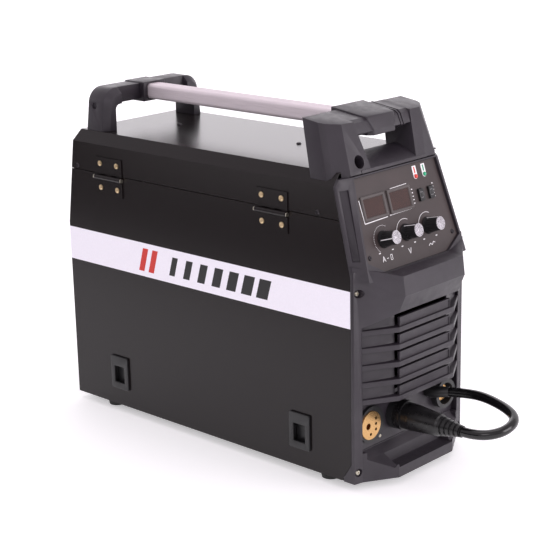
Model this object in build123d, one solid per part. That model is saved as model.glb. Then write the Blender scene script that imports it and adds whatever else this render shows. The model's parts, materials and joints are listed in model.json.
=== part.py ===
from build123d import *
import math
import os

# Multi-process inverter welder in a portable case. Millimetres.
# Drawing frame: X across (door side at -X), Y back from the moulded front,
# Z up from the underside of the sheet-metal body. export() then moves every
# piece so that the origin is under the middle of the machine, on the floor.

os.makedirs("parts", exist_ok=True)

# ---------------------------------------------------------------- driving sizes
HALF = 105.0               # half of the case width
DEPTH = 497.0              # front boundary to rear panel
TOP = 371.8                # top face
SIDE_TOP = 358.0           # where the side turns into the top bevel
TOP_HALF = 91.2            # half width of the flat top
SHEET = 1.5                # sheet-metal thickness
FOOT_HEIGHT = 10.0
FOOT_RADIUS = 11.0
GAP = 0.4                  # running gap round moving panels

FRONT_BEND = 253.4         # height where the front edge starts to lean back
FRONT_LEAN = 0.235         # lean of that edge, mm per mm, on the door side
RIGHT_LEAN = 0.40          # the same edge on the fixed side
REAR_BEND = 245.0
REAR_TOP = 478.0           # y of the rear edge at the top

SEAM = 320.0               # between the door and the strip over it
HINGE_AXIS_X = -HALF - 3.2
HINGE_AXIS_Z = 316.0
HINGE_CENTRES = (119.5, 409.5)
HINGE_LENGTH = 50.0
LATCH_CENTRES = (80.5, 406.5)
LATCH_LOW = 24.5
LATCH_HIGH = 70.5

PANEL_LEAN = math.radians(17.3)
PANEL_ORIGIN = (0.0, 0.6, 300.0)
KNOB_SPOTS = {"current_knob": -48.0, "voltage_knob": -6.0, "inductance_knob": 36.0}
KNOB_ROW = -11.0
BUTTON_SPOTS = {"mode_button": 36.3, "trigger_button": 55.5}
BUTTON_ROW = 26.5
LED_SPOTS = (35.4, 52.4)
LED_ROW = 49.5
DISPLAY_SPOTS = (-51.0, -3.0)
DISPLAY_ROW = 28.5

GRILLE_CORNER = (53.0, -31.0)
GRILLE_SIDE = 93.0
RIB_PITCH = 21.3
RIB_FIRST = 97.8
RIB_HEIGHT = 6.2
RIB_COUNT = 5

WALL_Y = 0.0               # face of the connector wall
SOCKET_Z = 67.0
EURO_X = -75.0
PLUG_X = -22.0
FREE_SOCKET_X = 68.0
GLAND = (42.0, 77.0)

HANDLE_TOP = (45.0, 424.5, 0.145)   # y, z and rise of the sloping top of the front handle
REAR_HANDLE_TOP = 427.0
TUBE_Z = 415.5
TUBE_HALF = 12.0           # half of the tube's width
TUBE_HALF_HEIGHT = 10.2
TUBE_FRONT = 75.0
TUBE_REAR = 450.0

LEAD_DIAMETER = 12.0
LEAD_RUN_FACTOR = 0.45
LEAD_ROUTE = [
    (50.5, -27.0, 78.3), (57.0, -44.0, 79.3), (61.0, -73.0, 80.0), (46.0, -121.0, 78.2),
    (26.0, -142.0, 75.0), (-2.5, -142.5, 70.3), (-22.0, -122.0, 67.0), (-22.0, -100.0, 67.0)]

DIVIDER_X = 5.0
SPOOL_CENTRE = (345.0, 190.0)
SPOOL_X = -74.0
SPOOL_RADIUS = 100.0
SPOOL_WIDTH = 55.0
WINDING_RADIUS = 92.0
WIRE_Y = 140.0             # drive roller station along the wire
WIRE_PLATE_X = -52.0
DRIVE_RADIUS = 15.0
PRESS_RADIUS = 11.0
ARM_PIVOT = (172.0, 88.0)
FAN_CENTRE = (54.0, 106.0)
FAN_SIZE = 92.0
FAN_DEPTH = 25.4
SWITCH_CENTRE = (64.0, 205.0)
MAINS_GLAND_CENTRE = (24.0, 205.0)
GAS_INLET_CENTRE = (-60.0, 60.0)

pieces = {}


def keep(name, shape):
    pieces[name] = shape


# ---------------------------------------------------------------- small helpers
def block(x, y, z):
    """Box from three (low, high) pairs."""
    size = [b - a for a, b in (x, y, z)]
    centre = [(a + b) / 2 for a, b in (x, y, z)]
    return Pos(*centre) * Box(*size)


def rounded(x, y, z, radius, axis):
    """Box whose edges along one axis are rounded."""
    solid = block(x, y, z)
    return fillet(solid.edges().filter_by(axis), radius)


def turned(start, axis, radius, length, top_radius=None):
    """Cylinder or cone from a start point along a direction."""
    plane = Plane(origin=start, z_dir=axis)
    if top_radius is None:
        tool = Cylinder(radius, length, align=(Align.CENTER, Align.CENTER, Align.MIN))
    else:
        tool = Cone(radius, top_radius, length, align=(Align.CENTER, Align.CENTER, Align.MIN))
    return plane * tool


def prism(points, travel):
    """Polygon pushed along a vector."""
    face = Face(Wire.make_polygon([Vector(*p) for p in points]))
    along = Vector(*travel)
    return extrude(face, amount=along.length, dir=along.normalized())


def bridge(first, second):
    """Straight-sided solid between two polygons with matching corners."""
    ends = [Face(Wire.make_polygon([Vector(*p) for p in ring])) for ring in (first, second)]
    return loft(ends, ruled=True)


def group(solids):
    return Compound(children=list(solids))


def front_edge(z):
    """Y of the boundary between the metal case and the front moulding."""
    return max(0.0, (z - FRONT_BEND) * FRONT_LEAN)


def right_edge(z):
    """The same boundary on the side opposite the door."""
    return max(0.0, (z - FRONT_BEND) * RIGHT_LEAN)


def rear_edge(z):
    lean = (DEPTH - REAR_TOP) / (TOP - REAR_BEND)
    return DEPTH - max(0.0, (z - REAR_BEND) * lean)


def case_side(low, high, inset=0.0):
    """Side silhouette of the case between two heights, as (y, z) corners."""
    front = [(front_edge(z) + inset, z) for z in (FRONT_BEND,) if low < z < high]
    outline = [(rear_edge(low) - inset, low)]
    if low < REAR_BEND < high:
        outline.append((rear_edge(REAR_BEND) - inset, REAR_BEND))
    outline.append((rear_edge(high) - inset, high))
    outline.append((front_edge(high) + inset, high))
    outline += front
    if low < 24.0:
        outline += [(inset, 24.0), (15.0 + inset, low)]
    else:
        outline.append((front_edge(low) + inset, low))
    return outline


def side_slab(low, high, x, thickness, inset=0.0):
    corners = [(x, y, z) for y, z in case_side(low, high, inset)]
    return prism(corners, (thickness, 0, 0))


def panel_point(x, up, out=0.0):
    """Point on the control panel: across, up the slope, and out of the face."""
    y = PANEL_ORIGIN[1] + up * math.sin(PANEL_LEAN) - out * math.cos(PANEL_LEAN)
    z = PANEL_ORIGIN[2] + up * math.cos(PANEL_LEAN) + out * math.sin(PANEL_LEAN)
    return (x, y, z)


PANEL_OUT = (0.0, -math.cos(PANEL_LEAN), math.sin(PANEL_LEAN))
PANEL_PLANE = Plane(origin=PANEL_ORIGIN, x_dir=(1, 0, 0), z_dir=PANEL_OUT)


def on_panel(shape, x, up, out=0.0):
    """Place a shape drawn about the origin, +Z out of the panel."""
    return PANEL_PLANE * Pos(x, up, out) * shape


# ---------------------------------------------------------------- sheet-metal case
def base_pan():
    low = 14.0
    high = DEPTH - SHEET - 0.2
    floor = block((-HALF + SHEET + GAP, HALF - SHEET), (low, high), (0, SHEET))
    left = block((-HALF + SHEET + GAP, -HALF + 2 * SHEET + GAP), (low, high), (0, 17))
    right = block((HALF - 2 * SHEET, HALF - SHEET), (low, high), (0, 17))
    pan = floor + left + right
    for x in (-85, 85):
        for y in (50, 440):
            pan -= turned((x, y, -1), (0, 0, 1), 2.6, 5)
    return pan


def case_section(offset):
    """Top cover outline from the right foot over the top to the door seam."""
    out = HALF - offset
    top = TOP - offset
    corner = offset * math.tan(math.radians(22.5))
    return [(out, 0.0), (out, SIDE_TOP - corner), (TOP_HALF - corner, top),
            (-TOP_HALF + corner, top), (-out, SIDE_TOP - corner), (-out, SEAM + GAP)]


def top_cover():
    outer = case_section(0.0)
    inner = case_section(SHEET)
    ring = outer + inner[::-1]
    sleeve = prism([(x, -5.0, z) for x, z in ring], (0, DEPTH + 10, 0))
    trim = side_slab(0.0, TOP + 1, -HALF - 5, 2 * HALF + 10)
    cover = sleeve & trim
    ahead = [(-1, FRONT_BEND), (0, FRONT_BEND), (right_edge(TOP + 5), TOP + 5), (-1, TOP + 5)]
    cover -= prism([(TOP_HALF, y, z) for y, z in ahead], (40, 0, 0))
    for row in range(2):
        for column in range(9):
            y = 300 + 17 * column
            z = 60 + 62 * row
            slot = rounded((HALF - 5, HALF + 5), (y, y + 6), (z, z + 46), 2.9, Axis.X)
            cover -= slot
    return cover


def rear_panel():
    half = HALF - SHEET - 0.1
    top_half = TOP_HALF - SHEET
    outline = [(SHEET + 0.1, DEPTH), (REAR_BEND, DEPTH), (TOP - SHEET - 0.1, rear_edge(TOP - SHEET))]
    ring = [(-half, y, z) for z, y in outline]
    ring += [(-half, y - SHEET, z) for z, y in outline[::-1]]
    plate = prism(ring, (2 * half, 0, 0))
    keep_in = prism([(-half, 400, 0), (half, 400, 0), (half, 400, SIDE_TOP - 2),
                     (top_half, 400, TOP - 2), (-top_half, 400, TOP - 2),
                     (-half, 400, SIDE_TOP - 2)], (0, 200, 0))
    plate = plate & keep_in
    plate -= block((-half - 1, -half + 2.2), (470, 500), (SEAM - 14, SEAM + 6))
    fan_x, fan_z = FAN_CENTRE
    plate -= turned((fan_x, DEPTH - 10, fan_z), (0, 1, 0), 42, 20)
    for dx in (-41.25, 41.25):
        for dz in (-41.25, 41.25):
            plate -= turned((fan_x + dx, DEPTH - 10, fan_z + dz), (0, 1, 0), 2.2, 20)
    plate -= block((SWITCH_CENTRE[0] - 13.6, SWITCH_CENTRE[0] + 13.6), (470, 500),
                   (SWITCH_CENTRE[1] - 11, SWITCH_CENTRE[1] + 11))
    for (x, z), radius in ((MAINS_GLAND_CENTRE, 10.1), (GAS_INLET_CENTRE, 6.6)):
        plate -= turned((x, 470, z), (0, 1, 0), radius, 40)
    return plate


def centre_divider():
    x = DIVIDER_X
    wall = block((x, x + SHEET), (70, 486), (SHEET, 300))
    wall -= prism([(x - 1, 474, 250), (x - 1, 500, 250), (x - 1, 500, 310), (x - 1, 466, 310)], (5, 0, 0))
    foot = block((x, x + 14), (70, 462), (SHEET, 2 * SHEET))
    wall += foot
    wall -= turned((x - 5, WIRE_Y, SOCKET_Z - DRIVE_RADIUS - 0.6), (1, 0, 0), 26.5, 15)
    wall -= turned((x - 5, SPOOL_CENTRE[0], SPOOL_CENTRE[1]), (1, 0, 0), 6.1, 15)
    for column in range(4):
        wall -= rounded((x - 5, x + 15), (210 + 20 * column, 216 + 20 * column), (235, 275), 2.9, Axis.X)
    return wall


def side_door():
    low = 0.6
    high = SEAM - GAP
    slab = side_slab(low, high, -HALF, SHEET, GAP)
    lip = block((-HALF + SHEET - 0.1, -HALF + 10), (478, 478 + SHEET), (30, 300))
    front_lip = block((-HALF + SHEET - 0.1, -HALF + 10), (16, 16 + SHEET), (30, 240))
    door = slab + lip + front_lip
    for y in LATCH_CENTRES:
        door -= block((-HALF - 5, -HALF + 5), (y - 10.5, y + 10.5), (LATCH_LOW + 6, LATCH_HIGH - 10))
    return door


def door_stripe():
    low = 193.4
    high = 238.4
    return side_slab(low, high, -HALF - 0.25, 0.25, GAP)


# ---------------------------------------------------------------- hinges
def knuckle_spans(centre, first, count):
    """Alternate barrel segments along the hinge, as (low, high) in Y."""
    pitch = HINGE_LENGTH / 5
    start = centre - HINGE_LENGTH / 2
    spans = []
    for index in range(first, first + 2 * count, 2):
        low = start + index * pitch + 0.2
        spans.append((low, low + pitch - 0.4))
    return spans


def hinge_leaf(centre, upper):
    low = centre - HINGE_LENGTH / 2
    high = centre + HINGE_LENGTH / 2
    x_out = -HALF - SHEET
    x_in = -HALF
    barrel_out = 3.0
    barrel_in = 1.55
    if upper:
        plate = block((x_out, x_in), (low, high), (SEAM + GAP, 342.5))
        spans = knuckle_spans(centre, 0, 3)
        reach = (HINGE_AXIS_Z + 1.0, SEAM + GAP + 0.1)
    else:
        plate = block((x_out, x_in), (low, high), (292.0, 312.0))
        spans = knuckle_spans(centre, 1, 2)
        reach = (311.9, HINGE_AXIS_Z - 1.0)
    leaf = plate
    for a, b in spans:
        leaf += turned((HINGE_AXIS_X, a, HINGE_AXIS_Z), (0, 1, 0), barrel_out, b - a)
        leaf += block((x_out, x_in - 0.25), (a, b), reach)
    leaf -= turned((HINGE_AXIS_X, low - 1, HINGE_AXIS_Z), (0, 1, 0), barrel_in, HINGE_LENGTH + 2)
    return leaf


def hinge_rivet(y, z):
    head = turned((-HALF - SHEET, y, z), (-1, 0, 0), 3.6, 0.9)
    dome = turned((-HALF - SHEET - 0.9, y, z), (-1, 0, 0), 3.0, 0.8, 1.6)
    return head + dome


def hinge_pin(centre):
    length = HINGE_LENGTH + 1.0
    start = (HINGE_AXIS_X, centre - length / 2, HINGE_AXIS_Z)
    shaft = turned(start, (0, 1, 0), 1.5, length)
    for y, direction in ((centre - length / 2, -1), (centre + length / 2, 1)):
        shaft += turned((HINGE_AXIS_X, y, HINGE_AXIS_Z), (0, direction, 0), 2.6, 1.0)
    return shaft


def hinges():
    spots = [(c + dy, z) for c in HINGE_CENTRES for dy, z in ((-16, 334.0), (16, 334.0))]
    keep("hinge_upper_leaves", group(hinge_leaf(c, True) for c in HINGE_CENTRES))
    keep("hinge_lower_leaves", group(hinge_leaf(c, False) for c in HINGE_CENTRES))
    keep("hinge_pins", group(hinge_pin(c) for c in HINGE_CENTRES))
    keep("upper_hinge_rivets", group(hinge_rivet(y, z) for y, z in spots))
    keep("lower_hinge_rivets", group(hinge_rivet(y, 302.0) for y, z in spots))


# ---------------------------------------------------------------- door latches
def latch_housing(y):
    outer = rounded((-HALF - 3, -HALF), (y - 16.5, y + 16.5), (LATCH_LOW, LATCH_HIGH), 2.0, Axis.X)
    window = block((-HALF - 5, -HALF + 1), (y - 9.5, y + 9.5), (LATCH_LOW + 9, LATCH_HIGH - 14))
    rail = block((-HALF + SHEET + 0.1, -HALF + SHEET + 5), (y - 14, y - 11.0), (26, 68))
    return [outer - window, rail, mirror(rail, about=Plane.XZ.offset(-y))]


def latch_slider(y):
    back = block((-HALF + 5.2, -HALF + 7.2), (y - 10.3, y + 10.3), (22, 66))
    back += block((-HALF + 3.4, -HALF + 5.3), (y - 8, y + 8), (60.9 - 4, 60.9))
    hook = block((-HALF + 5.2, -HALF + 7.2), (y - 7, y + 7), (11, 22.1))
    return back + hook


# ---------------------------------------------------------------- moulded front
def ledge_ring(x, corner):
    """Section of the prow under the control panel, at the side or at its corner."""
    if corner:
        outline = [(8, 255.5), (-39.6, 253.5), (-43.0, 230.5), (-41.5, 227.5), (-33.5, 208.5), (8, 208.5)]
    else:
        outline = [(8, 268.5), (-2.5, 268), (-4.0, 251), (-0.8, 222), (-0.4, 189), (8, 189)]
    return [(x, y, z) for y, z in outline]


def ledge():
    corner_x = 57.5
    middle = prism(ledge_ring(-corner_x, True), (2 * corner_x, 0, 0))
    wing = bridge(ledge_ring(-HALF, False), ledge_ring(-corner_x, True))
    return middle + wing + mirror(wing, about=Plane.YZ)


def panel_ring(inset_top, inset_bottom, up_low, up_high, out):
    """Tapered control-panel outline with cut lower corners."""
    top, bottom, cut = 77.5 - inset_top, 88.0 - inset_bottom, 60.0 - inset_bottom
    flat = [(-top, up_high), (-bottom, up_low + 16), (-cut, up_low),
            (cut, up_low), (bottom, up_low + 16), (top, up_high)]
    return [panel_point(x, up, out) for x, up in flat]


def label_half(z):
    """Half width of the control panel's outline at a height."""
    up = (z - PANEL_ORIGIN[2]) / math.cos(PANEL_LEAN)
    return min(88.5, 88.0 - (up + 33.0) * 10.5 / 95.0)


def flank_point(side, z, share, depth):
    """Point on the slope between outer border and panel crest. share runs from 0 to 1."""
    border_y = (front_edge(z) if side < 0 else right_edge(z)) - 3.0
    border = (HALF - 1.6, border_y)
    crest = (label_half(z) + 4.2, PANEL_ORIGIN[1] + (z - PANEL_ORIGIN[2]) * math.tan(PANEL_LEAN) - 3.4)
    run = (crest[0] - border[0], crest[1] - border[1])
    length = math.hypot(*run)
    x = border[0] + run[0] * share + depth * run[1] / length
    y = border[1] + run[1] * share - depth * run[0] / length
    return (side * x, y, z)


def frame_half(side, z):
    """Section of one flank of the panel surround at a height."""
    edge = front_edge(z) if side < 0 else right_edge(z)
    crest = flank_point(side, z, 1.0, 0.0)
    inner = (side * (label_half(z) + 1.6), crest[1], z)
    middle = (0.0, crest[1], z)
    border = [(side * HALF, edge + 30, z), (side * HALF, edge - 1.6, z), flank_point(side, z, 0.0, 0.0)]
    return border + [crest, inner, middle, (0.0, edge + 30, z)]


def trough_ring(side, z):
    """Section of the groove pressed into a flank."""
    section = ((0.05, -5), (0.22, 4.6), (0.66, 2.2), (0.78, -5))
    return [flank_point(side, z, share, depth) for share, depth in section]


def panel_frame():
    """Leaning surround of the control panel: crest, grooved flank and outer border."""
    low, bend, high = 249.0, FRONT_BEND, 365.5
    frame = None
    for side in (-1, 1):
        for bottom, top in ((low, bend), (bend, high)):
            slab = bridge(frame_half(side, bottom), frame_half(side, top))
            frame = slab if frame is None else frame + slab
        frame -= bridge(trough_ring(side, 273.0), trough_ring(side, 353.0))
    return frame


def side_strip():
    """Flat strip at the left edge of the moulding, which carries its screws."""
    edge_y = -31.0 * (HALF - GRILLE_SIDE) / (HALF - GRILLE_CORNER[0])
    outline = [(-HALF, -4.5), (-GRILLE_SIDE, edge_y), (-GRILLE_SIDE, 12), (-HALF, 12)]
    return prism([(x, y, 0) for x, y in outline], (0, 0, 262))


def front_bezel():
    body = panel_frame() + ledge()
    strip = side_strip()
    body += strip + mirror(strip, about=Plane.YZ)
    body -= bridge(panel_ring(0, 0, -48, 66, -2.0), panel_ring(0, 0, -48, 66, 20.0))
    body -= bridge(panel_ring(6, 8, -40, 60, -1.9), panel_ring(6, 8, -40, 60, -40.0))
    for start, edge in ((-HALF - 1, front_edge), (0.0, right_edge)):
        behind = [(start, edge(z), z) for z in (24, FRONT_BEND, 400)]
        behind += [(start, 90, 400), (start, 90, -10), (start, 15 + 10 / 1.6, -10)]
        body -= prism(behind, (HALF + 1, 0, 0))
    body -= block((-92, 92), (-6, 20), (212, 246))
    for x, z in ((-99.0, 236.0), (-99.0, 14.0), (99.0, 236.0), (99.0, 14.0)):
        body -= turned((x, -30, z), (0, 1, 0), 5.2, 26.8)
    outside = [(HALF, SIDE_TOP), (HALF + 5, SIDE_TOP), (HALF + 5, TOP + 5), (TOP_HALF, TOP)]
    for side in (-1, 1):
        body -= prism([(side * x, -60, z) for x, z in outside], (0, 160, 0))
    return body


def plan_point(side, depth):
    """Corner of the grille outline set back by a depth. side: 0 to 3, left to right."""
    corner_x, corner_y = GRILLE_CORNER
    run = HALF - corner_x
    angle = math.atan2(-corner_y, run)
    if side in (1, 2):
        x = corner_x - depth * math.tan(angle / 2)
        y = corner_y + depth
    else:
        x = GRILLE_SIDE
        y = corner_y * (HALF - GRILLE_SIDE) / run + depth / math.cos(angle)
    return (-x if side < 2 else x, y)


def grille_bar(section):
    """A bar of one (depth, height) section along the three grille faces."""
    rings = []
    for side in range(4):
        rings.append([(*plan_point(side, depth), z) for depth, z in section])
    bar = bridge(rings[0], rings[1])
    for side in (1, 2):
        bar += bridge(rings[side], rings[side + 1])
    return bar


def louvre_gap(low, high):
    """Set-back filling between two ribs: closed at the sides, with a slit above it in the middle."""
    corner = GRILLE_CORNER[0]
    side_section = [(3.0, low), (6.0, high), (9.0, high), (6.0, low)]
    corner_section = [(9.0, low), (10.5, high), (13.0, high), (12.0, low)]
    outer = [(*plan_point(0, depth), z) for depth, z in side_section]
    inner = [(*plan_point(1, depth), z) for depth, z in corner_section]
    cheek = bridge(outer, inner)
    front = GRILLE_CORNER[1]
    slit = high - 4.0
    tongue = block((-corner + 3, corner - 5), (front + 3.6, front + 6.0), (low, slit))
    rim = block((-corner + 3, corner - 5), (front + 2.2, front + 3.7), (slit - 1.3, slit))
    for x in (-corner + 3, corner - 6.3):
        rim += block((x, x + 1.3), (front + 2.2, front + 3.7), (low, slit))
    return cheek + mirror(cheek, about=Plane.YZ) + tongue + rim


def louvre_grille():
    grille = None
    for index in range(RIB_COUNT):
        z = RIB_FIRST + index * RIB_PITCH
        top = z + RIB_HEIGHT
        bar = grille_bar([(0, z), (0, top), (13.0, top), (13.0, z)])
        bar += louvre_gap(top - 0.1, z + RIB_PITCH + 0.1)
        grille = bar if grille is None else grille + bar
    return grille


def connector_panel():
    """Wall for the sockets with the tray and lip under it."""
    wall = block((-92.8, 92.8), (WALL_Y, WALL_Y + 3), (20, RIB_FIRST - 0.2))
    strip = plan_point(0, 0)
    corner = plan_point(1, 0)
    lip_low = [(strip[0], strip[1], 0.0), (corner[0], corner[1], 0.0), (-corner[0], corner[1], 0.0),
               (-strip[0], strip[1], 0.0), (-strip[0], 12, 0.0), (strip[0], 12, 0.0)]
    lip_high = [(x, y, 37.0) for x, y, _ in lip_low]
    tray = bridge(lip_low, lip_high)
    cheek = prism([(-100, -40, 32), (-58, -40, 28), (-52, -40, 13), (52, -40, 13),
                   (58, -40, 28), (100, -40, 32), (100, -40, 60), (-100, -40, 60)], (0, 29, 0))
    scoop = [(-28, 13), (-1, 36), (-1, 60), (-40, 60), (-40, 34)]
    hollow = prism([(-88, y, z) for y, z in scoop], (176, 0, 0))
    tray = tray - cheek - hollow
    tray -= block((-88, 88), (3.1, 20), (3, 40))
    panel = wall + tray
    for x, z, radius in ((EURO_X + 3, SOCKET_Z, 13.0), (PLUG_X, SOCKET_Z, 15.0),
                         (FREE_SOCKET_X, SOCKET_Z, 15.0), (GLAND[0], GLAND[1], 6.1)):
        panel -= turned((x, -2, z), (0, 1, 0), radius, 10)
    return panel


# ---------------------------------------------------------------- carrying handle
def quarter_turn(centre, radius, steps):
    """Points of a rounded corner, from its side to its top."""
    angles = [math.radians(90 * step / steps) for step in range(steps + 1)]
    return [(centre[0] + radius * math.cos(a), centre[1] + radius * math.sin(a)) for a in angles]


def arch_ring(inset, y):
    """Outline of the rear arch, with round shoulders that lean in a little."""
    shoulder = 22.0
    right = [(91.0 - inset, TOP)]
    right += quarter_turn((86.5 - shoulder, REAR_HANDLE_TOP - shoulder), shoulder - inset, 8)
    inside = [(71.0, TOP)]
    inside += quarter_turn((64.0, 399.0), 7.0, 4)
    outline = right + [(-x, z) for x, z in right[::-1]] + [(-x, z) for x, z in inside] + inside[::-1]
    return [(x, y, z) for x, z in outline]


def rear_handle():
    """Square arch on two posts, with rounded shoulders and a bevelled front edge."""
    front, back, bevel = 429.0, 466.0, 8.0
    handle = bridge(arch_ring(bevel, front), arch_ring(0.0, front + bevel))
    handle += prism(arch_ring(0.0, front + bevel), (0, back - front - bevel, 0))
    handle -= block((-60, 60), (400, 438), (TOP, REAR_HANDLE_TOP + 1))
    for side in (-1, 1):
        start = (side * 92, 454, 404)
        handle -= turned(start, (-side, 0, 0), 4.5, 8.0)
    return handle - rear_collar_block()


def handle_post():
    """Left-to-right post outline at its foot and at its head, joined straight."""
    low = [(41, 17.5), (80, 18), (97.5, 32), (100.5, 38), (100.5, 62.5), (41, 62.5)]
    high = [(54, 41), (72, 42), (87.5, 52.5), (91, 60), (91, 83), (54, 83)]
    return bridge([(x, y, 362.0) for x, y in low], [(x, y, 432.0) for x, y in high])


def front_collar_block():
    """Clamp plate over the tube's end, with a strap down the front of the cross-bar and round its core."""
    stations = [(92.0, 30.0, 432.9), (50.0, 28.0, 426.9), (40.4, 25.5, 425.2), (33.6, 19.5, 410.0)]
    rings = []
    for y, half, top in stations:
        rings.append([(-half, y, 403.0), (half, y, 403.0), (half, y, top), (-half, y, top)])
    collar = bridge(rings[0], rings[1])
    for first, second in zip(rings[1:], rings[2:]):
        collar += bridge(first, second)
    return collar - block((-36, 36), (44, 73), (409, 421))


def rear_collar_block():
    """Clamp round the tube's other end, open where the core of the arch passes through."""
    clamp = block((-19.5, 19.5), (430, 468), (402.5, 428.5))
    return clamp - block((-20, 20), (452, 463), (409, 424))


def cross_bar(low_x, high_x, proud):
    """Length of the front cross-bar, or a band standing proud of it."""
    section = [(34.7, 409), (40, 421), (45, 424.5), (83, 430), (85, 424), (80, 408), (72, 405), (42, 405)]
    middle = (60.0, 416.0)
    grown = []
    for y, z in section:
        reach = math.hypot(y - middle[0], z - middle[1])
        grown.append((low_x, y + (y - middle[0]) / reach * proud, z + (z - middle[1]) / reach * proud))
    return prism(grown, (high_x - low_x, 0, 0))


def front_handle():
    """Posts that carry on the line of the control panel, with a cross-bar."""
    side = handle_post()
    slope = [(18.6, 366.6), (19.7, 370), (36, 377.5), (48, 381.6),
             (55, 383), (60, 381), (62, 372.5), (62, 366.6)]
    sill = prism([(-60, y, z) for y, z in slope], (120, 0, 0))
    handle = side + mirror(side, about=Plane.YZ) + sill
    top_y, top_z, rise = HANDLE_TOP
    above = [(-120, y, top_z + (y - top_y) * rise) for y in (0, 120)] + [(-120, 120, 500), (-120, 0, 500)]
    handle -= prism(above, (240, 0, 0))
    handle += cross_bar(-60, 60, 0.0)
    for x in (31.0, 36.0):
        handle += cross_bar(x, x + 2.6, 1.3)
    handle -= block((-81, 81), (0, 30), (350, 366.6))
    right_outline = [(HALF + 5, 300), (HALF + 5, SIDE_TOP - 5), (TOP_HALF, TOP)]
    outline = right_outline + [(-x, z) for x, z in right_outline[::-1]]
    case = prism([(x, 0, z) for x, z in outline], (0, 120, 0))
    ahead = prism([(-120, front_edge(z), z) for z in (300, 400)] + [(-120, -50, 400), (-120, -50, 300)],
                  (240, 0, 0))
    handle -= case - ahead
    inward = tuple(-c for c in PANEL_OUT)
    handle -= turned(panel_point(-59.5, 83, 8), inward, 8.0, 26)
    return handle - front_collar_block()


def tube_hole():
    return rounded((-TUBE_HALF - 0.1, TUBE_HALF + 0.1), (TUBE_FRONT, TUBE_REAR),
                   (TUBE_Z - TUBE_HALF_HEIGHT - 0.1, TUBE_Z + TUBE_HALF_HEIGHT + 0.1), 5.0, Axis.Y)


def handle_tube():
    low = TUBE_Z - TUBE_HALF_HEIGHT
    high = TUBE_Z + TUBE_HALF_HEIGHT
    tube = rounded((-TUBE_HALF, TUBE_HALF), (TUBE_FRONT + 0.5, TUBE_REAR - 0.5), (low, high), 5.0, Axis.Y)
    for x in (-6.0, -2.0, 2.0, 6.0):
        for z in (high + 0.5, low - 0.5):
            tube -= turned((x, TUBE_FRONT, z), (0, 1, 0), 1.3, TUBE_REAR - TUBE_FRONT)
    inner_half = TUBE_HALF - 2
    bore = rounded((-inner_half, inner_half), (TUBE_FRONT, TUBE_REAR), (low + 2.2, high - 2.2), 3.0, Axis.Y)
    return tube - bore


def tube_collars():
    return group(collar - tube_hole() for collar in (front_collar_block(), rear_collar_block()))


# ---------------------------------------------------------------- control panel
def control_panel():
    plate = bridge(panel_ring(0.6, 0.6, -47.4, 65.4, -2.0), panel_ring(0.6, 0.6, -47.4, 65.4, 0.0))
    for x in KNOB_SPOTS.values():
        plate -= on_panel(Cylinder(4.0, 8), x, KNOB_ROW)
    for x in BUTTON_SPOTS.values():
        plate -= on_panel(Box(9.4, 15.4, 8), x, BUTTON_ROW)
    for x in LED_SPOTS:
        plate -= on_panel(Cylinder(2.6, 8), x, LED_ROW)
    for x in DISPLAY_SPOTS:
        plate -= on_panel(Box(38.2, 25.2, 8), x, DISPLAY_ROW)
    return plate


def digital_displays():
    modules = []
    for x in DISPLAY_SPOTS:
        frame = on_panel(Box(38, 25, 10), x, DISPLAY_ROW, -4.4)
        frame += on_panel(Box(43, 29, 1.0), x, DISPLAY_ROW, 0.55)
        frame -= on_panel(Box(35, 22, 2), x, DISPLAY_ROW, 1.4)
        modules.append(frame)
    return group(modules)


def control_board():
    board = [on_panel(Box(134, 84, 1.6), 0, 9, -16.0)]
    for x in KNOB_SPOTS.values():
        pot = on_panel(Box(16, 20, 6.5), x, KNOB_ROW, -11.9)
        pot += on_panel(Cylinder(3.4, 5.6), x, KNOB_ROW, -5.9)
        pot += on_panel(Cylinder(3.0, 12.0), x, KNOB_ROW, 3.0)
        board.append(pot)
    for x in BUTTON_SPOTS.values():
        board.append(on_panel(Box(8, 8, 8.8), x, BUTTON_ROW, -10.75))
    return group(board)


def status_leds():
    lamps = []
    for x in LED_SPOTS:
        lamp = on_panel(Cylinder(2.5, 14), x, LED_ROW, -6.0)
        lamp += on_panel(Sphere(2.5), x, LED_ROW, 1.0)
        lamps.append(lamp)
    return group(lamps)


def control_knob(x):
    """Fluted knob on a potentiometer shaft."""
    skirt = on_panel(Cone(10.5, 9.6, 3.2, align=(Align.CENTER, Align.CENTER, Align.MIN)), x, KNOB_ROW, 0.8)
    grip = on_panel(Cone(9.2, 8.2, 16.0, align=(Align.CENTER, Align.CENTER, Align.MIN)), x, KNOB_ROW, 3.9)
    knob = skirt + grip
    for index in range(18):
        angle = index * math.tau / 18
        groove = Cylinder(0.9, 15, align=(Align.CENTER, Align.CENTER, Align.MIN))
        knob -= on_panel(groove, x + 9.4 * math.cos(angle), KNOB_ROW + 9.4 * math.sin(angle), 5.2)
    knob -= on_panel(Cylinder(3.05, 9.0, align=(Align.CENTER, Align.CENTER, Align.MIN)), x, KNOB_ROW, 0.5)
    return knob


def panel_button(x):
    cap = on_panel(Box(8.6, 14.6, 6.6), x, BUTTON_ROW, -0.6)
    dished = on_panel(Pos(0, 0, 21.6) * Sphere(20), x, BUTTON_ROW, 0.6)
    return cap - dished


# ---------------------------------------------------------------- sockets and lead
def euro_socket():
    z = SOCKET_Z
    brass = turned((EURO_X, -6, z), (0, 1, 0), 17.5, 5.9)
    brass += turned((EURO_X + 3, -1, z), (0, 1, 0), 12.5, 46)
    for y in (-5.0, -3.2, -1.4):
        ring = turned((EURO_X, y, z), (0, 1, 0), 19, 0.8) - turned((EURO_X, y, z), (0, 1, 0), 16.9, 0.8)
        brass -= ring
    brass -= turned((EURO_X - 5.5, -8, z), (0, 1, 0), 4.0, 16)
    for dx, dz in ((8.6, 7.0), (8.6, 0.0), (8.6, -7.0), (-1.0, -11.0)):
        brass -= turned((EURO_X + dx, -8, z + dz), (0, 1, 0), 1.9, 16)
    return brass


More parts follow.
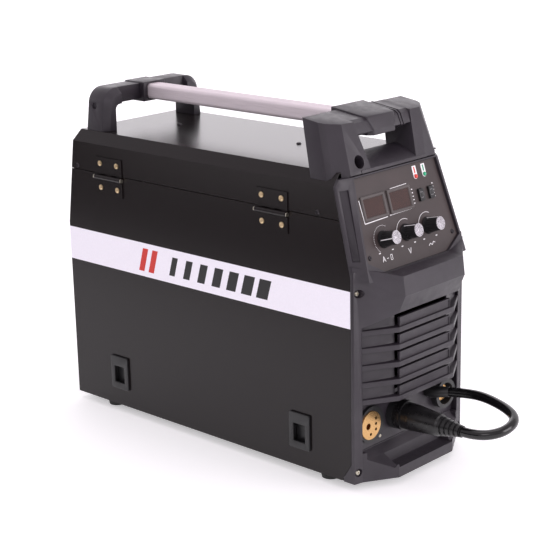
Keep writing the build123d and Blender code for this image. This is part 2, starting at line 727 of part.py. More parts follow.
def euro_flange():
    z = SOCKET_Z
    ring = turned((EURO_X + 3, -4.5, z), (0, 1, 0), 22.5, 4.4) & block((-92.5, 0), (-10, 10), (0, 112))
    return ring - turned((EURO_X, -8, z), (0, 1, 0), 17.7, 12)


def socket_shell(x):
    z = SOCKET_Z
    shell = turned((x, -9, z), (0, 1, 0), 19.0, 8.9)
    shell += turned((x, -0.2, z), (0, 1, 0), 14.6, 20)
    shell -= turned((x, -10, z), (0, 1, 0), 14.0, 10.5)
    shell -= turned((x, -0.5, z), (0, 1, 0), 10.1, 24)
    return shell


def socket_contact(x):
    z = SOCKET_Z
    brass = turned((x, -3.0, z), (0, 1, 0), 10.0, 34)
    brass -= turned((x, -4.0, z), (0, 1, 0), 6.65, 24)
    brass -= block((x - 2.2, x + 2.2), (-4, 20), (z, z + 8.6))
    return brass


def lead_plug():
    """Quarter-turn plug with its ribbed boot, seated in the middle socket."""
    x = PLUG_X
    z = SOCKET_Z
    nose = turned((x, 15.0, z), (0, -1, 0), 6.6, 19)
    body = turned((x, -3.2, z), (0, -1, 0), 13.6, 6.2)
    body += turned((x, -9.3, z), (0, -1, 0), 18.6, 9.5)
    profile = [(0, -18.7), (16.6, -18.7), (16.6, -30), (13.4, -68), (12.6, -70)]
    for index in range(5):
        y = -70 - 6 * index
        r = 12.4 - 1.15 * index
        profile += [(r, y - 0.4), (r - 0.5, y - 3.8), (r - 1.9, y - 4.0), (r - 1.9, y - 5.6)]
    profile += [(7.2, -100), (0, -100)]
    face = Face(Wire.make_polygon([Vector(x + r, y, z) for r, y in profile]))
    shell = revolve(face, Axis((x, 0, z), (0, 1, 0)))
    return nose + body + shell


def lead_gland():
    x, z = GLAND
    nut = Plane(origin=(x, -0.1, z), z_dir=(0, -1, 0)) * extrude(RegularPolygon(9.0, 6), amount=6)
    nut += turned((x, 14, z), (0, -1, 0), 6.0, 14.2)
    start_way = tuple(b - a for a, b in zip(LEAD_ROUTE[0], LEAD_ROUTE[1]))
    rings = [((x, -6.0, z), (0.0, -1, 0), 8.2), ((x + 1.6, -13.0, z + 0.3), (0.25, -1, 0.02), 7.4),
             ((x + 5.0, -20.5, z + 0.9), (0.42, -1, 0.05), 6.8), (LEAD_ROUTE[0], start_way, 6.4)]
    discs = [Plane(origin=spot, z_dir=axis) * Circle(radius) for spot, axis, radius in rings]
    return nut + loft(discs)


def lead_radii():
    """Largest bend radius each corner of the route leaves room for."""
    radii = []
    spots = [Vector(*p) for p in LEAD_ROUTE]
    for before, here, after in zip(spots, spots[1:], spots[2:]):
        turn = math.radians((here - before).get_angle(after - here))
        shorter = min((here - before).length, (after - here).length)
        radii.append(LEAD_RUN_FACTOR * shorter / math.tan(turn / 2))
    return radii


def polarity_lead():
    radii = lead_radii()
    path = FilletPolyline(*LEAD_ROUTE, radius=radii)
    start = Plane(origin=path @ 0, z_dir=path % 0)
    tube = sweep(start * Circle(LEAD_DIAMETER / 2), path=path)
    expected = math.pi * (LEAD_DIAMETER / 2) ** 2 * path.length
    print("lead length", round(path.length, 1), "volume ratio", round(tube.volume / expected, 4))
    print("lead radii", [round(r, 1) for r in radii])
    return tube


# ---------------------------------------------------------------- rear fittings
def fan_parts():
    x, z = FAN_CENTRE
    back = DEPTH - SHEET - 0.1
    half = FAN_SIZE / 2
    frame = rounded((x - half, x + half), (back - FAN_DEPTH, back), (z - half, z + half), 4.0, Axis.Y)
    frame -= turned((x, back - FAN_DEPTH - 1, z), (0, 1, 0), half - 3, FAN_DEPTH + 2)
    hub = turned((x, back - 6, z), (0, 1, 0), 17, 5)
    frame += hub
    for angle in (30, 150, 270):
        arm = Rot(0, angle, 0) * block((14, half - 2), (-6, -2), (-2.0, 2.0))
        frame += Pos(x, back, z) * arm
    keep("fan_housing", frame)
    rotor = turned((x, back - FAN_DEPTH + 1, z), (0, 1, 0), 17, 17.5)
    for index in range(7):
        blade = Rot(38, 0, 0) * block((14, half - 5), (-9, 9), (-0.7, 0.7))
        rotor += Pos(x, back - 14, z) * Rot(0, index * 360 / 7, 0) * blade
    keep("fan_rotor", rotor)
    guard = None
    for radius in (12, 20, 28, 36, 43):
        wire = Pos(x, DEPTH + 3.0, z) * Rot(90, 0, 0) * Torus(radius, 0.9)
        guard = wire if guard is None else guard + wire
    for index in range(4):
        spoke = turned((0, 0, 10), (0, 0, 1), 0.9, 36)
        guard += Pos(x, DEPTH + 1.6, z) * Rot(0, 45 + 90 * index, 0) * spoke
    for dx in (-41.25, 41.25):
        for dz in (-41.25, 41.25):
            ear = turned((x + dx, DEPTH, z + dz), (0, 1, 0), 4.2, 2.6)
            reach = math.hypot(dx, dz)
            bar = bridge([(x + dx * (1 - 12 / reach) - 1, DEPTH + 1, z + dz * (1 - 12 / reach)),
                          (x + dx * (1 - 12 / reach) + 1, DEPTH + 1, z + dz * (1 - 12 / reach)),
                          (x + dx * (1 - 12 / reach) + 1, DEPTH + 3, z + dz * (1 - 12 / reach)),
                          (x + dx * (1 - 12 / reach) - 1, DEPTH + 3, z + dz * (1 - 12 / reach))],
                         [(x + dx - 1, DEPTH + 1, z + dz), (x + dx + 1, DEPTH + 1, z + dz),
                          (x + dx + 1, DEPTH + 3, z + dz), (x + dx - 1, DEPTH + 3, z + dz)])
            guard += ear + bar
    keep("fan_guard", guard)


def power_switch():
    x, z = SWITCH_CENTRE
    y = DEPTH
    frame = rounded((x - 15.5, x + 15.5), (y, y + 2.4), (z - 13, z + 13), 2.0, Axis.Y)
    frame += block((x - 13.3, x + 13.3), (y - 26, y + 0.1), (z - 10.7, z + 10.7))
    frame -= block((x - 11, x + 11), (y - 14, y + 5), (z - 8, z + 8))
    keep("power_switch_housing", frame)
    rocker = turned((x - 10.6, y - 4, z), (1, 0, 0), 7.6, 21.2)
    keep("power_rocker", rocker & block((x - 11, x + 11), (y - 5.5, y + 5), (z - 8, z + 8)))


def mains_gland():
    x, z = MAINS_GLAND_CENTRE
    y = DEPTH
    nut = Plane(origin=(x, y, z), z_dir=(0, 1, 0)) * extrude(RegularPolygon(14.0, 6), amount=9)
    gland = nut + turned((x, y - 20, z), (0, 1, 0), 9.9, 20)
    gland += turned((x, y + 8.9, z), (0, 1, 0), 12.0, 12, 8.5)
    return gland - turned((x, y - 21, z), (0, 1, 0), 4.2, 50)


def gas_fittings():
    x, z = GAS_INLET_CENTRE
    back = DEPTH
    nut = Plane(origin=(x, back, z), z_dir=(0, 1, 0)) * extrude(RegularPolygon(9.5, 6), amount=6)
    barb = nut + turned((x, back - 12, z), (0, 1, 0), 6.4, 12.1)
    barb += turned((x, back + 5.9, z), (0, 1, 0), 3.6, 20)
    for index in range(3):
        barb += turned((x, back + 9 + 5 * index, z), (0, 1, 0), 4.6, 4.5, 3.7)
    barb -= turned((x, back - 13, z), (0, 1, 0), 2.2, 40)
    keep("gas_inlet", barb)
    valve = rounded((x - 12, x + 12), (back - 42, back - 12.1), (z - 12, z + 12), 2.0, Axis.Y)
    valve += turned((x, back - 27, z + 11.9), (0, 0, 1), 11, 30)
    valve += turned((x, back - 42.1 + 0.2, z), (0, -1, 0), 4.0, 14)
    keep("gas_valve", valve)


# ---------------------------------------------------------------- electronics
def heatsink():
    sink = block((20, 100), (178, 315), (30, 36))
    for index in range(12):
        x = 21.5 + 7.0 * index
        sink += block((x - 0.9, x + 0.9), (178, 315), (SHEET, 30.1))
    return sink


def power_board():
    board = block((12, 101.5), (172, 318), (52, 53.6))
    parts = [board]
    for column in range(3):
        for row in range(2):
            parts.append(turned((34 + 46 * row, 298 - 36 * column, 53.6), (0, 0, 1), 15, 48))
    for row in range(6):
        parts.append(block((24 + row * 12, 33 + row * 12), (190, 195), (36, 52)))
    return group(parts)


def transformer():
    core = block((22, 94), (330, 392), (12, 72)) - block((36, 80), (329, 393), (26, 58))
    core += block((52, 64), (330, 392), (25, 59))
    coil = rounded((38, 78), (322, 400), (28, 56), 6.0, Axis.X)
    coil -= block((51.9, 64.1), (329.9, 392.1), (20, 62))
    shoe = block((24, 92), (336, 386), (SHEET + 0.1, 12.1))
    return core + shoe + coil - block((38, 78), (322, 329.9), (0, 20))


def output_choke():
    coil = turned((54, 62, 3.2), (0, 0, 1), 30, 30) - turned((54, 62, 3), (0, 0, 1), 12, 31)
    return fillet(coil.edges().filter_by(GeomType.CIRCLE), 4.0)


# ---------------------------------------------------------------- wire feeder
def wire_drive_plate():
    x = WIRE_PLATE_X
    plate = rounded((x, x + 8), (88, 196), (30, 112), 5.0, Axis.X)
    plate -= turned((x - 1, WIRE_Y, SOCKET_Z - DRIVE_RADIUS - 0.6), (1, 0, 0), 8.1, 12)
    for y in (93, 186):
        plate += block((x + 7.9, DIVIDER_X - 0.1), (y, y + 8), (36, 50))
    guide = turned((EURO_X + 3, 92, SOCKET_Z), (0, 1, 0), 4.0, 24)
    guide += block((EURO_X + 1, x + 0.1), (94, 112), (SOCKET_Z - 3, SOCKET_Z + 3))
    inlet = turned((EURO_X + 3, 168, SOCKET_Z), (0, 1, 0), 4.0, 30)
    inlet += block((EURO_X + 1, x + 0.1), (170, 190), (SOCKET_Z - 3, SOCKET_Z + 3))
    bore = turned((EURO_X + 3, 85, SOCKET_Z), (0, 1, 0), 1.2, 130)
    pivot = turned((EURO_X - 4, ARM_PIVOT[0], ARM_PIVOT[1]), (1, 0, 0), 3.0, x - EURO_X + 4.1)
    return plate + guide + inlet - bore + pivot


def drive_motor():
    z = SOCKET_Z - DRIVE_RADIUS - 0.6
    motor = turned((WIRE_PLATE_X + 8.1, WIRE_Y, z), (1, 0, 0), 26, 74)
    motor += turned((WIRE_PLATE_X + 82, WIRE_Y, z), (1, 0, 0), 10, 6)
    motor += turned((EURO_X - 6, WIRE_Y, z), (1, 0, 0), 4.0, WIRE_PLATE_X - EURO_X + 14.2)
    return motor


def drive_roller():
    z = SOCKET_Z - DRIVE_RADIUS - 0.6
    x = EURO_X + 3
    wheel = turned((x - 5, WIRE_Y, z), (1, 0, 0), DRIVE_RADIUS, 10)
    wheel += turned((x + 5, WIRE_Y, z), (1, 0, 0), 8, 6)
    for dx in (-2.5, 2.5):
        wheel -= turned((x + dx - 0.6, WIRE_Y, z), (1, 0, 0), 20, 1.2) - turned(
            (x + dx - 0.6, WIRE_Y, z), (1, 0, 0), DRIVE_RADIUS - 0.7, 1.2)
    return wheel - turned((x - 8, WIRE_Y, z), (1, 0, 0), 4.05, 30)


def pressure_arm():
    z = SOCKET_Z + PRESS_RADIUS + 0.6
    x = EURO_X + 3
    y0, z0 = ARM_PIVOT
    arm = None
    for low, high in ((x - 10, x - 6.5), (x + 6.5, x + 10)):
        plate = prism([(low, y0 + 8, z0 - 8), (low, y0 + 8, z0 + 12), (low, WIRE_Y - 12, z0 + 16),
                       (low, WIRE_Y - 42, z0 + 16), (low, WIRE_Y - 42, z0 + 6), (low, WIRE_Y - 10, z - 8),
                       (low, WIRE_Y + 10, z - 8)], (high - low, 0, 0))
        arm = plate if arm is None else arm + plate
    arm += block((x - 10, x + 10), (WIRE_Y - 4, WIRE_Y + 30), (z0 + 10.5, z0 + 13))
    arm -= turned((x - 20, y0, z0), (1, 0, 0), 3.05, 40)
    return arm + turned((x - 10, WIRE_Y, z), (1, 0, 0), 3.0, 20)


def pressure_roller():
    z = SOCKET_Z + PRESS_RADIUS + 0.6
    x = EURO_X + 3
    roller = turned((x - 6, WIRE_Y, z), (1, 0, 0), PRESS_RADIUS, 12)
    return roller - turned((x - 7, WIRE_Y, z), (1, 0, 0), 3.05, 14)


def tension_knob():
    x = EURO_X + 3
    y = WIRE_Y - 36
    z = ARM_PIVOT[1] + 16.3
    knob = turned((x, y, z), (0, 0, 1), 9, 22, 8)
    knob += turned((x, y, 80), (0, 0, 1), 2.5, z - 79.9)
    return knob


def spool_axle():
    y, z = SPOOL_CENTRE
    axle = turned((SPOOL_X - 8, y, z), (1, 0, 0), 24.9, SPOOL_WIDTH + 12)
    axle += turned((SPOOL_X + SPOOL_WIDTH + 3.9, y, z), (1, 0, 0), 30, 3)
    axle += turned((SPOOL_X + SPOOL_WIDTH + 6, y, z), (1, 0, 0), 12, DIVIDER_X - SPOOL_X - SPOOL_WIDTH - 6)
    return axle


def wire_spool():
    y, z = SPOOL_CENTRE
    x = SPOOL_X
    spool = turned((x, y, z), (1, 0, 0), SPOOL_RADIUS, 4)
    spool += turned((x + SPOOL_WIDTH - 4, y, z), (1, 0, 0), SPOOL_RADIUS, 4)
    spool += turned((x, y, z), (1, 0, 0), WINDING_RADIUS, SPOOL_WIDTH)
    return spool - turned((x - 1, y, z), (1, 0, 0), 25.0, SPOOL_WIDTH + 2)


# ---------------------------------------------------------------- feet and screws
def feet():
    pads = []
    for x in (-85, 85):
        for y in (50, 440):
            pad = turned((x, y, -FOOT_HEIGHT), (0, 0, 1), FOOT_RADIUS, FOOT_HEIGHT - 0.05, FOOT_RADIUS + 2)
            pads.append(pad - turned((x, y, -FOOT_HEIGHT - 1), (0, 0, 1), 5, 6))
    return group(pads)


def screw(spot, direction, radius, height):
    """Pan head with a driver recess."""
    head = turned(spot, direction, radius, height, radius * 0.72)
    start = tuple(p + c * height * 0.45 for p, c in zip(spot, direction))
    return head - turned(start, direction, radius * 0.35, height)


def screws():
    front = []
    for x, z in ((-99.0, 236.0), (-99.0, 14.0), (99.0, 236.0), (99.0, 14.0)):
        front.append(screw((x, -3.2, z), (0, -1, 0), 3.6, 2.2))
    front.append(screw((-53.0, WALL_Y, 46.0), (0, -1, 0), 2.6, 1.6))
    front.append(screw((90.0, WALL_Y, 50.0), (0, -1, 0), 2.0, 1.4))
    keep("bezel_screws", group(front))
    case = []
    for y, z in ((49.0, 325.0), (473.0, 325.0)):
        case.append(screw((-HALF, y, z), (-1, 0, 0), 3.2, 1.6))
        for height in (325.0, 9.0):
            case.append(screw((HALF, y, height), (1, 0, 0), 3.2, 1.6))
    for x in (-79.0, 79.0):
        case.append(screw(panel_point(x, -27.0), PANEL_OUT, 3.0, 1.4))
    for y in (177.0, 392.0):
        case.append(screw((7.0, y, TOP), (0, 0, 1), 3.4, 1.8))
    keep("case_screws", group(case))


def build_all():
    keep("base_pan", base_pan())
    keep("top_cover", top_cover())
    keep("rear_panel", rear_panel())
    keep("centre_divider", centre_divider())
    keep("front_bezel", front_bezel())
    keep("connector_panel", connector_panel())
    keep("louvre_grille", louvre_grille() - pieces["front_bezel"])
    keep("front_handle", front_handle() - pieces["front_bezel"])
    keep("rear_handle", rear_handle())
    keep("handle_tube", handle_tube())
    keep("tube_collars", tube_collars())
    keep("side_door", side_door())
    keep("door_stripe", door_stripe())
    hinges()
    housings = [part for y in LATCH_CENTRES for part in latch_housing(y)]
    keep("latch_housings", group(housings))
    for label, y in zip(("front_latch", "rear_latch"), LATCH_CENTRES):
        keep(label, latch_slider(y))
    keep("control_panel", control_panel())
    keep("control_board", control_board())
    keep("digital_displays", digital_displays())
    keep("status_leds", status_leds())
    for label, x in KNOB_SPOTS.items():
        keep(label, control_knob(x))
    for label, x in BUTTON_SPOTS.items():
        keep(label, panel_button(x))
    keep("euro_flange", euro_flange())
    keep("euro_socket", euro_socket())
    keep("output_socket_shells", group(socket_shell(x) for x in (PLUG_X, FREE_SOCKET_X)))
    keep("output_socket_contacts", group(socket_contact(x) for x in (PLUG_X, FREE_SOCKET_X)))
    keep("lead_plug", lead_plug())
    keep("lead_gland", lead_gland())
    keep("polarity_lead", polarity_lead())
    fan_parts()
    power_switch()
    keep("mains_gland", mains_gland())
    gas_fittings()
    keep("heatsink", heatsink())
    keep("power_board", power_board())
    keep("transformer", transformer())
    keep("output_choke", output_choke())
    keep("wire_drive_plate", wire_drive_plate())
    keep("drive_motor", drive_motor())
    keep("drive_roller", drive_roller())
    keep("pressure_arm", pressure_arm())
    keep("pressure_roller", pressure_roller())
    keep("tension_knob", tension_knob())
    keep("spool_axle", spool_axle())
    keep("wire_spool", wire_spool())
    keep("feet", feet())
    screws()


def export():
    """Write every node, moved so that the origin is under the middle of the machine."""
    on_cord = ("polarity_lead", "lead_plug")
    boxes = [shape.bounding_box() for name, shape in pieces.items() if name not in on_cord]
    middle = [(min(b.min.X for b in boxes) + max(b.max.X for b in boxes)) / 2,
              (min(b.min.Y for b in boxes) + max(b.max.Y for b in boxes)) / 2]
    shift = Vector(-middle[0], -middle[1], FOOT_HEIGHT)
    print("frame shift", [round(v, 3) for v in shift])
    for name, shape in pieces.items():
        placed = [solid.moved(Location(shift)) for solid in shape.solids()]
        export_step(placed[0] if len(placed) == 1 else Compound(placed), f"parts/{name}.step")


build_all()
export()
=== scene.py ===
import json
import math

import bmesh
import bpy
from mathutils import Matrix, Vector

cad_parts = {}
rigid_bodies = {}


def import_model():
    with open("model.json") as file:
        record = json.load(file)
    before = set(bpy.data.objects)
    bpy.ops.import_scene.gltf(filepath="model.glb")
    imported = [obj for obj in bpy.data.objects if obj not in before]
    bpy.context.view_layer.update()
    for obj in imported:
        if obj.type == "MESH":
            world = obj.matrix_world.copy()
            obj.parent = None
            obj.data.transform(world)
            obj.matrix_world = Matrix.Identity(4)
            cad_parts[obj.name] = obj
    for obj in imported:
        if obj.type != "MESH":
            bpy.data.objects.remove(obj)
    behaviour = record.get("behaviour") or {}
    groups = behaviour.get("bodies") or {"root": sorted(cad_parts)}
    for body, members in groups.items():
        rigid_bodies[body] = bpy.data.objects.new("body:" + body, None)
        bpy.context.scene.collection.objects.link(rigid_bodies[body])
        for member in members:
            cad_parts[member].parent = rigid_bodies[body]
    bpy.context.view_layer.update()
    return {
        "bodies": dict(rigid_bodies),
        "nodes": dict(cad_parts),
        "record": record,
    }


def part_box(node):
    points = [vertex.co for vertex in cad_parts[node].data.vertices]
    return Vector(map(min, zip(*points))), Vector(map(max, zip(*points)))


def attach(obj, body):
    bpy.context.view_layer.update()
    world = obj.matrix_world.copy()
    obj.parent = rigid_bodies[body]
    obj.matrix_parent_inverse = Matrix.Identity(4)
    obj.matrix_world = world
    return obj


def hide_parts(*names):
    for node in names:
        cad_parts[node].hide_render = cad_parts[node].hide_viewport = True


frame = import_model()
NODES = frame["nodes"]
BODY_OF = {node: body for body, empty in frame["bodies"].items()
           for node in NODES if NODES[node].parent == empty}
SLOT_OF = {part["node"]: part["material_slot"] for part in frame["record"]["subparts"]}

MM = 0.001
cover_low, cover_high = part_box("top_cover")
CORNER = Vector(((cover_low.x + cover_high.x) / 2, cover_low.y, cover_low.z))

PANEL_LEAN = math.radians(17.3)
PANEL_ORIGIN = Vector((0.0, 0.6, 300.0))
PANEL_OUT = Vector((0.0, -math.cos(PANEL_LEAN), math.sin(PANEL_LEAN)))
PANEL_UP = Vector((0.0, math.sin(PANEL_LEAN), math.cos(PANEL_LEAN)))


def at(x, y, z):
    return CORNER + Vector((x, y, z)) * MM


def on_panel(x, up, out=0.0):
    """Point on the control panel: across, up the slope, out of its face."""
    spot = PANEL_ORIGIN + Vector((x, 0, 0)) + PANEL_UP * up + PANEL_OUT * out
    return at(*spot)


def panel_matrix(x, up, out):
    """Placing of a shape drawn about the origin, +Z out of the panel."""
    turn = Matrix((Vector((1, 0, 0)), PANEL_UP, PANEL_OUT)).transposed().to_4x4()
    return Matrix.Translation(on_panel(x, up, out)) @ turn


# ---------------------------------------------------------------- camera
CAMERA_AZIMUTH = math.radians(-46.91)
CAMERA_ELEVATION = math.radians(16.19)
CAMERA_ROLL = math.radians(-1.20)
CAMERA_DISTANCE = 1990.46
CAMERA_TARGET = (0.0, 215.86, 195.71)
CAMERA_LENS = 100.76


def make_camera():
    flat = math.cos(CAMERA_ELEVATION)
    back = Vector((math.sin(CAMERA_AZIMUTH) * flat, -math.cos(CAMERA_AZIMUTH) * flat,
                   math.sin(CAMERA_ELEVATION)))
    right = (-back).cross(Vector((0, 0, 1))).normalized()
    up = right.cross(-back)
    turned_right = right * math.cos(CAMERA_ROLL) + up * math.sin(CAMERA_ROLL)
    turned_up = up * math.cos(CAMERA_ROLL) - right * math.sin(CAMERA_ROLL)
    data = bpy.data.cameras.new("camera")
    data.sensor_width = 36.0
    data.lens = CAMERA_LENS
    camera = bpy.data.objects.new("camera", data)
    bpy.context.scene.collection.objects.link(camera)
    turn = Matrix((turned_right, turned_up, back)).transposed().to_4x4()
    spot = at(*CAMERA_TARGET) + back * CAMERA_DISTANCE * MM
    camera.matrix_world = Matrix.Translation(spot) @ turn
    bpy.context.scene.camera = camera


make_camera()

# The route is in drawing millimetres.
LEAD_DIAMETER = 0.012
LEAD_ROUTE = [
    (50.5, -27.0, 78.3), (57.0, -44.0, 79.3), (61.0, -73.0, 80.0), (46.0, -121.0, 78.2),
    (26.0, -142.0, 75.0), (-2.5, -142.5, 70.3), (-22.0, -122.0, 67.0), (-22.0, -100.0, 67.0)]


def make_lead():
    data = bpy.data.curves.new("polarity_cable", "CURVE")
    data.dimensions = "3D"
    data.bevel_depth = LEAD_DIAMETER / 2
    data.bevel_resolution = 6
    data.resolution_u = 24
    spline = data.splines.new("NURBS")
    spline.points.add(len(LEAD_ROUTE) - 1)
    for point, spot in zip(spline.points, LEAD_ROUTE):
        point.co = (*at(*spot), 1.0)
    spline.order_u = 3
    spline.use_endpoint_u = True
    cable = bpy.data.objects.new("polarity_cable", data)
    bpy.context.scene.collection.objects.link(cable)
    return cable


cable = make_lead()

# ---------------------------------------------------------------- material tools
class Finish:
    """A principled material with a few procedural layers on it."""

    def __init__(self, name, roughness, metallic=0.0, **sockets):
        self.material = bpy.data.materials.new(name)
        self.material.use_nodes = True
        self.tree = self.material.node_tree
        self.shader = self.tree.nodes["Principled BSDF"]
        self.shader.inputs["Roughness"].default_value = roughness
        self.shader.inputs["Metallic"].default_value = metallic
        for socket, value in sockets.items():
            self.shader.inputs[socket.replace("_", " ")].default_value = value
        self.place = self.tree.nodes.new("ShaderNodeTexCoord").outputs["Object"]
        self.normal = None

    def link(self, source, target):
        self.tree.links.new(source, target)

    def stretched(self, scale):
        mapping = self.tree.nodes.new("ShaderNodeMapping")
        mapping.inputs["Scale"].default_value = scale
        self.link(self.place, mapping.inputs["Vector"])
        return mapping.outputs["Vector"]

    def noise(self, scale, detail=3.0, stretch=None):
        node = self.tree.nodes.new("ShaderNodeTexNoise")
        node.inputs["Scale"].default_value = scale
        node.inputs["Detail"].default_value = detail
        self.link(self.stretched(stretch) if stretch else self.place, node.inputs["Vector"])
        return node.outputs["Fac"]

    def cells(self, scale):
        node = self.tree.nodes.new("ShaderNodeTexVoronoi")
        node.inputs["Scale"].default_value = scale
        self.link(self.place, node.inputs["Vector"])
        return node.outputs["Distance"]

    def ramp(self, source, *stops):
        node = self.tree.nodes.new("ShaderNodeValToRGB")
        elements = node.color_ramp.elements
        while len(elements) < len(stops):
            elements.new(0.5)
        for element, (spot, colour) in zip(elements, stops):
            element.position = spot
            element.color = (*colour, 1.0)
        self.link(source, node.inputs["Fac"])
        return node.outputs["Color"]

    def colour(self, source, *stops):
        self.link(self.ramp(source, *stops), self.shader.inputs["Base Color"])

    def rough(self, source, low, high):
        node = self.tree.nodes.new("ShaderNodeMapRange")
        node.inputs["From Min"].default_value = 0.3
        node.inputs["From Max"].default_value = 0.7
        node.inputs["To Min"].default_value = low
        node.inputs["To Max"].default_value = high
        self.link(source, node.inputs["Value"])
        self.link(node.outputs["Result"], self.shader.inputs["Roughness"])

    def bump(self, source, strength, distance):
        node = self.tree.nodes.new("ShaderNodeBump")
        node.inputs["Strength"].default_value = strength
        node.inputs["Distance"].default_value = distance
        self.link(source, node.inputs["Height"])
        if self.normal:
            self.link(self.normal, node.inputs["Normal"])
        self.normal = node.outputs["Normal"]
        self.link(self.normal, self.shader.inputs["Normal"])


def shades(colour, spread):
    """Darker and lighter versions of a colour, for a ramp."""
    return [(0.3, tuple(c * (1 - spread) for c in colour)), (0.7, tuple(c * (1 + spread) for c in colour))]


# Scales of noise and cells are per metre, and bump distances are metres.
def powder_coat(name, colour, roughness, spread=0.10):
    look = Finish(name, roughness, Specular_IOR_Level=0.32)
    look.colour(look.noise(420, 4.0), *shades(colour, spread))
    look.rough(look.noise(700, 3.0), roughness - 0.02, roughness + 0.02)
    look.bump(look.noise(2200, 2.0), 0.10, 0.0001)
    return look.material


def moulded_plastic(name, colour, roughness, grain=0.22):
    look = Finish(name, roughness)
    look.colour(look.noise(30, 6.0), *shades(colour, 0.12))
    look.rough(look.noise(90, 4.0), roughness - 0.06, roughness + 0.07)
    look.bump(look.cells(1500), grain, 0.00012)
    look.bump(look.noise(3200, 3.0), grain * 0.6, 0.00008)
    return look.material


def brushed_metal(name, colour, roughness, stretch, metallic=1.0):
    look = Finish(name, roughness, metallic)
    look.colour(look.noise(40, 6.0, stretch), *shades(colour, 0.1))
    look.rough(look.noise(60, 5.0, stretch), roughness - 0.07, roughness + 0.1)
    look.bump(look.noise(120, 6.0, stretch), 0.12, 0.00006)
    return look.material


def soft_rubber(name, colour, roughness, scale=700):
    look = Finish(name, roughness, Specular_IOR_Level=0.55)
    look.colour(look.noise(60, 4.0), *shades(colour, 0.2))
    look.rough(look.noise(120, 4.0), roughness - 0.05, roughness + 0.08)
    look.bump(look.noise(scale, 3.0), 0.08, 0.0001)
    return look.material


def printed_ink(name, colour, roughness=0.5):
    look = Finish(name, roughness)
    look.colour(look.noise(500, 3.0), *shades(colour, 0.05))
    look.bump(look.noise(1800, 2.0), 0.06, 0.00005)
    return look.material


def clear_gloss(name, colour, roughness=0.12, glow=0.0):
    look = Finish(name, roughness, Coat_Weight=0.6, Coat_Roughness=0.05)
    look.colour(look.noise(80, 3.0), *shades(colour, 0.15))
    look.rough(look.noise(30, 3.0), roughness - 0.03, roughness + 0.05)
    if glow:
        look.shader.inputs["Emission Color"].default_value = (*colour, 1.0)
        look.shader.inputs["Emission Strength"].default_value = glow
    return look.material


def circuit_board():
    """Green solder mask with lighter tracks."""
    look = Finish("circuit_board", 0.35)
    mask = look.cells(220)
    look.colour(mask, (0.05, (0.012, 0.10, 0.035)), (0.22, (0.016, 0.15, 0.05)), (0.5, (0.01, 0.07, 0.03)))
    look.bump(mask, 0.2, 0.0002)
    return look.material


def wound_wire():
    """Copper-coated wire wound side by side round the spool's axis, with painted shade in the grooves
    between the turns.
    """
    look = Finish("wound_wire", 0.35, 0.85)
    wave = look.tree.nodes.new("ShaderNodeTexWave")
    wave.bands_direction = "X"
    wave.inputs["Scale"].default_value = 150
    wave.inputs["Distortion"].default_value = 0.6
    look.link(look.place, wave.inputs["Vector"])
    # Painted shade: the low parts of each wave, the grooves between the turns, are coloured dark brown.
    look.colour(wave.outputs["Fac"], (0.1, (0.20, 0.10, 0.05)), (0.6, (0.72, 0.42, 0.26)))
    look.bump(wave.outputs["Fac"], 0.5, 0.0006)
    return look.material


MATERIALS = {
    "case_paint": powder_coat("case_paint", (0.0090, 0.0062, 0.0066), 0.24),
    "stripe_paint": powder_coat("stripe_paint", (0.90, 0.87, 0.95), 0.38, 0.02),
    "moulding": moulded_plastic("moulding", (0.0265, 0.0215, 0.0285), 0.44),
    "panel_film": moulded_plastic("panel_film", (0.040, 0.027, 0.0265), 0.42, 0.08),
    "display_window": moulded_plastic("display_frame", (0.050, 0.041, 0.039), 0.36, 0.1),
    "black_steel": brushed_metal("black_steel", (0.06, 0.055, 0.06), 0.34, (30, 30, 30)),
    "lamp_lens": clear_gloss("lamp_lens", (0.7, 0.02, 0.015)),
    "knob_plastic": moulded_plastic("knob_plastic", (0.012, 0.012, 0.013), 0.32, 0.1),
    "tube_aluminium": brushed_metal("tube_aluminium", (0.80, 0.72, 0.76), 0.42, (90, 0.8, 90), 0.35),
    "brass": brushed_metal("brass", (0.66, 0.40, 0.17), 0.26, (25, 25, 25)),
    "zinc_steel": brushed_metal("zinc_steel", (0.66, 0.62, 0.52), 0.30, (30, 30, 30)),
    "cable_rubber": soft_rubber("cable_rubber", (0.0035, 0.0033, 0.0038), 0.16),
    "plug_rubber": soft_rubber("plug_rubber", (0.007, 0.0065, 0.0072), 0.30),
    "socket_plastic": moulded_plastic("socket_plastic", (0.014, 0.014, 0.015), 0.40, 0.12),
    "circuit_board": circuit_board(),
    "cooler_aluminium": brushed_metal("cooler_aluminium", (0.66, 0.67, 0.69), 0.36, (4, 60, 60)),
    "core_ferrite": moulded_plastic("core_ferrite", (0.05, 0.045, 0.042), 0.6, 0.4),
    "motor_steel": brushed_metal("motor_steel", (0.46, 0.46, 0.48), 0.34, (60, 5, 5)),
    "spool_wire": wound_wire(),
    "foot_rubber": soft_rubber("foot_rubber", (0.012, 0.012, 0.012), 0.7, 1400),
}
INK_WHITE = printed_ink("ink_white", (0.85, 0.84, 0.85))
INK_RED = printed_ink("ink_red", (0.62, 0.03, 0.02))
INK_GREEN = printed_ink("ink_green", (0.02, 0.28, 0.14))
INK_GREY = printed_ink("ink_grey", (0.22, 0.21, 0.22))
YELLOW_ZINC = brushed_metal("yellow_zinc", (0.78, 0.60, 0.36), 0.30, (30, 30, 30))
RED_LENS = clear_gloss("red_lens", (0.62, 0.02, 0.01), 0.1, 0.25)
GREEN_LENS = clear_gloss("green_lens", (0.0, 0.30, 0.14), 0.1, 0.2)
DARK_WINDOW = clear_gloss("dark_window", (0.040, 0.014, 0.010), 0.10)
SILVER = brushed_metal("silver_cap", (0.58, 0.56, 0.59), 0.24, (20, 20, 20))
RIM_GREY = moulded_plastic("rim_grey", (0.085, 0.072, 0.070), 0.34, 0.08)
STRIPE_BLACK = printed_ink("stripe_black", (0.012, 0.012, 0.013), 0.4)

